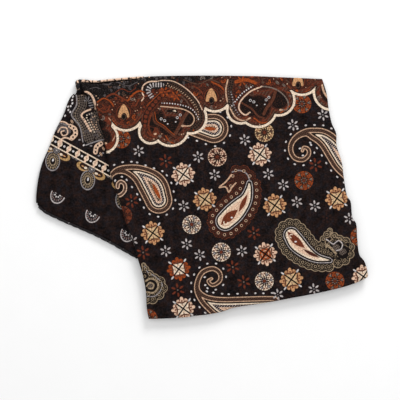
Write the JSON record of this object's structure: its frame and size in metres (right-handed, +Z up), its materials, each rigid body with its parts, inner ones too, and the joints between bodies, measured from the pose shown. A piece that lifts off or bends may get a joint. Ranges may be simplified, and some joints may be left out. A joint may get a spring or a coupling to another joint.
{
  "type": "neck scarf",
  "caption": "Square neck scarf of thin printed cloth, folded flat into a wide rectangle with a wing of it running out to the left.",
  "frame": {"origin": "under the middle of the folded scarf's outline, on the surface that it lies on", "axes": "+Z up through the layers, +X to the right along the wide side, away from the wing, +Y towards the top fold"},
  "size_m": [0.3317, 0.2446, 0.0107],
  "materials": {
    "printed_cloth": "matt fine cloth, near-black with a cream and rust print",
    "rolled_hem": "matt rolled hem of the same cloth"
  },
  "bodies": {
    "root": {"front_stretch": "printed_cloth", "left_stretch": "printed_cloth", "left_hem": "rolled_hem", "back_edge_roll": "rolled_hem", "back_stretch": "printed_cloth", "hidden_folds": "printed_cloth"}
  },
  "joints": []
}
